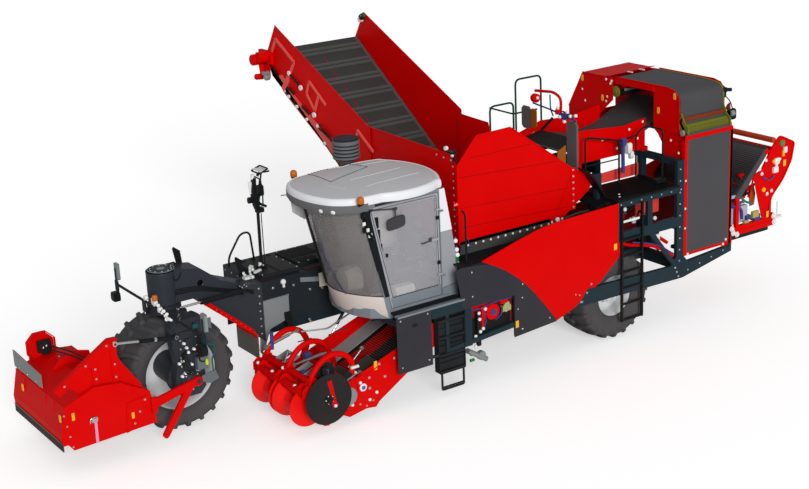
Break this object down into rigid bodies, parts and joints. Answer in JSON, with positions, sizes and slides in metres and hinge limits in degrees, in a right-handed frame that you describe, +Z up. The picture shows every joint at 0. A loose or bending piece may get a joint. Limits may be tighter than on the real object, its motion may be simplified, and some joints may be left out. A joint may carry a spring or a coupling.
{
  "type": "potato harvester",
  "caption": "Self-propelled two-row potato harvester on three wheels: front haulm topper, digging unit under the cab, bunker with side discharge elevator, rear ring elevator and cleaning unit",
  "frame": {"origin": "bottom centre of the whole machine's box, on the ground", "axes": "+X forward, +Y to the machine's left, +Z up"},
  "size_m": [14.42, 6.84, 5.37],
  "materials": {
    "tyre": "matt black rubber with bar lugs",
    "rim_silver": "satin silver paint",
    "slate_paint": "satin slate grey paint",
    "frame_teal": "satin dark teal paint",
    "red_paint": "gloss red paint",
    "belt_rubber": "matt dark belt rubber",
    "dark_steel": "worn bare steel",
    "engine_iron": "cast block",
    "cab_grey": "satin light grey paint",
    "cab_glass": "lightly tinted glass",
    "seat_trim": "dark woven trim",
    "black_rail": "black powder coat",
    "cylinder_black": "black enamel",
    "rod_chrome": "hard chrome"
  },
  "bodies": {
    "chassis": {"front_neck": "slate_paint", "front_mudguard": "red_paint", "main_frame": "frame_teal", "engine_housing": "slate_paint", "engine": "engine_iron", "cab_shell": "cab_grey", "windscreen": "cab_glass", "cab_glass": "cab_glass", "cab_roof": "cab_grey", "operator_seat": "seat_trim", "bunker": "red_paint", "left_panel": "slate_paint", "side_covers": "red_paint", "walkway": "frame_teal", "access_steps": "frame_teal", "rear_platform": "frame_teal", "guard_rails": "black_rail", "sieve_channel": "red_paint", "conveyor_belts": "belt_rubber", "ring_elevator": "red_paint", "transfer_conveyor": "red_paint", "cleaning_unit": "red_paint"},
    "steering_leg": {"steering_leg": "slate_paint", "front_lamps": "black_rail"},
    "front_wheel": {"front_tyre": "tyre", "front_rim": "rim_silver"},
    "rear_wheel_left": {"rear_tyre_left": "tyre", "rear_rim_left": "rim_silver"},
    "rear_wheel_right": {"rear_tyre_right": "tyre", "rear_rim_right": "rim_silver"},
    "haulm_topper": {"haulm_topper": "red_paint", "topper_skirt": "belt_rubber"},
    "topper_rotor": {"topper_rotor": "dark_steel"},
    "digging_unit": {"digger_frame": "red_paint", "digger_web": "dark_steel"},
    "depth_roller_left": {"depth_roller_left": "red_paint"},
    "depth_roller_right": {"depth_roller_right": "red_paint"},
    "coulter_disc": {"coulter_disc": "dark_steel"},
    "discharge_elevator": {"discharge_elevator": "red_paint", "discharge_belt": "belt_rubber"},
    "cab_door": {"cab_door": "cab_grey", "door_glass": "cab_glass"},
    "steering_cylinder_barrel": {"steering_cylinder_barrel": "cylinder_black"},
    "steering_cylinder_rod": {"steering_cylinder_rod": "rod_chrome"},
    "top_link_barrel": {"top_link_barrel": "cylinder_black"},
    "top_link_rod": {"top_link_rod": "rod_chrome"},
    "elevator_cylinder_barrel": {"elevator_cylinder_barrel": "cylinder_black"},
    "elevator_cylinder_rod": {"elevator_cylinder_rod": "rod_chrome"},
    "digger_cylinder_barrel": {"digger_cylinder_barrel": "cylinder_black"},
    "digger_cylinder_rod": {"digger_cylinder_rod": "rod_chrome"}
  },
  "joints": [
    {"name": "front_wheel_steering", "type": "hinge", "parent": "chassis", "child": "steering_leg", "pos_m": [4.98, 1.23, 2.3], "axis": [0, 0, 1], "range_deg": [-45, 45]},
    {"name": "front_wheel_spin", "type": "hinge", "parent": "steering_leg", "child": "front_wheel", "pos_m": [4.98, 1.23, 0.95], "axis": [0, 1, 0], "continuous": true},
    {"name": "rear_wheel_left_spin", "type": "hinge", "parent": "chassis", "child": "rear_wheel_left", "pos_m": [-2.77, 2.875, 0.81], "axis": [0, 1, 0], "continuous": true},
    {"name": "rear_wheel_right_spin", "type": "hinge", "parent": "chassis", "child": "rear_wheel_right", "pos_m": [-2.77, 0.585, 0.81], "axis": [0, 1, 0], "continuous": true},
    {"name": "topper_lift", "type": "hinge", "parent": "steering_leg", "child": "haulm_topper", "pos_m": [4.92, 2.09, 0.96], "axis": [0, 1, 0], "range_deg": [-15, 8]},
    {"name": "topper_rotor_spin", "type": "hinge", "parent": "haulm_topper", "child": "topper_rotor", "pos_m": [6.58, 1.08, 0.79], "axis": [0, 1, 0], "continuous": true},
    {"name": "digging_unit_lift", "type": "hinge", "parent": "chassis", "child": "digging_unit", "pos_m": [0.83, 2.49, 1.13], "axis": [0, 1, 0], "range_deg": [-6, 2.5]},
    {"name": "depth_roller_left_spin", "type": "hinge", "parent": "digging_unit", "child": "depth_roller_left", "pos_m": [3.56, 2.82, 0.47], "axis": [0, 1, 0], "continuous": true},
    {"name": "depth_roller_right_spin", "type": "hinge", "parent": "digging_unit", "child": "depth_roller_right", "pos_m": [3.56, 2.16, 0.47], "axis": [0, 1, 0], "continuous": true},
    {"name": "coulter_disc_spin", "type": "hinge", "parent": "digging_unit", "child": "coulter_disc", "pos_m": [3.31, 3.34, 0.6], "axis": [0, 1, 0], "continuous": true},
    {"name": "discharge_elevator_lift", "type": "hinge", "parent": "chassis", "child": "discharge_elevator", "pos_m": [-0.62, 0.13, 2.45], "axis": [1, 0, 0], "range_deg": [-4, 30]},
    {"name": "cab_door_hinge", "type": "hinge", "parent": "chassis", "child": "cab_door", "pos_m": [0.884, 3.088, 1.688], "axis": [0, 0, 1], "range_deg": [0, 90]},
    {"name": "steering_cylinder_swing", "type": "hinge", "parent": "chassis", "child": "steering_cylinder_barrel", "pos_m": [3.73, 1.59, 2.04], "axis": [0, 0, 1], "range_deg": [-1.36, 1.36]},
    {"name": "steering_cylinder_extend", "type": "slide", "parent": "steering_cylinder_barrel", "child": "steering_cylinder_rod", "axis": [0.9994, 0.0333, 0], "range_m": [-0.2916, 0.2916]},
    {"name": "top_link_swing", "type": "hinge", "parent": "steering_leg", "child": "top_link_barrel", "pos_m": [5.21, 2.07, 1.76], "axis": [0, 1, 0], "range_deg": [-22.21, 11.87]},
    {"name": "top_link_extend", "type": "slide", "parent": "top_link_barrel", "child": "top_link_rod", "axis": [0.9889, 0, 0.1483], "range_m": [-0.1815, 0.0969]},
    {"name": "elevator_cylinder_swing", "type": "hinge", "parent": "chassis", "child": "elevator_cylinder_barrel", "pos_m": [-0.62, 0.95, 1.7], "axis": [1, 0, 0], "range_deg": [-2.17, 15.94]},
    {"name": "elevator_cylinder_extend", "type": "slide", "parent": "elevator_cylinder_barrel", "child": "elevator_cylinder_rod", "axis": [0, -0.822, 0.5694], "range_m": [-0.1437, 0.0193]},
    {"name": "digger_cylinder_swing", "type": "hinge", "parent": "chassis", "child": "digger_cylinder_barrel", "pos_m": [1.86, 1.68, 1.36], "axis": [0, 1, 0], "range_deg": [-11.24, 4.71]},
    {"name": "digger_cylinder_extend", "type": "slide", "parent": "digger_cylinder_barrel", "child": "digger_cylinder_rod", "axis": [0.6105, 0, -0.792], "range_m": [-0.0973, 0.0407]}
  ],
  "couplings": [
    {"joint": "steering_cylinder_swing", "follows": "front_wheel_steering", "ratio": -0.0291},
    {"joint": "steering_cylinder_extend", "follows": "front_wheel_steering", "m_per_rad": -0.37107},
    {"joint": "top_link_swing", "follows": "topper_lift", "ratio": 1.4772},
    {"joint": "top_link_extend", "follows": "topper_lift", "m_per_rad": 0.69262},
    {"joint": "elevator_cylinder_swing", "follows": "discharge_elevator_lift", "ratio": 0.52973},
    {"joint": "elevator_cylinder_extend", "follows": "discharge_elevator_lift", "m_per_rad": -0.27409},
    {"joint": "digger_cylinder_swing", "follows": "digging_unit_lift", "ratio": 1.8644},
    {"joint": "digger_cylinder_extend", "follows": "digging_unit_lift", "m_per_rad": 0.92743}
  ]
}
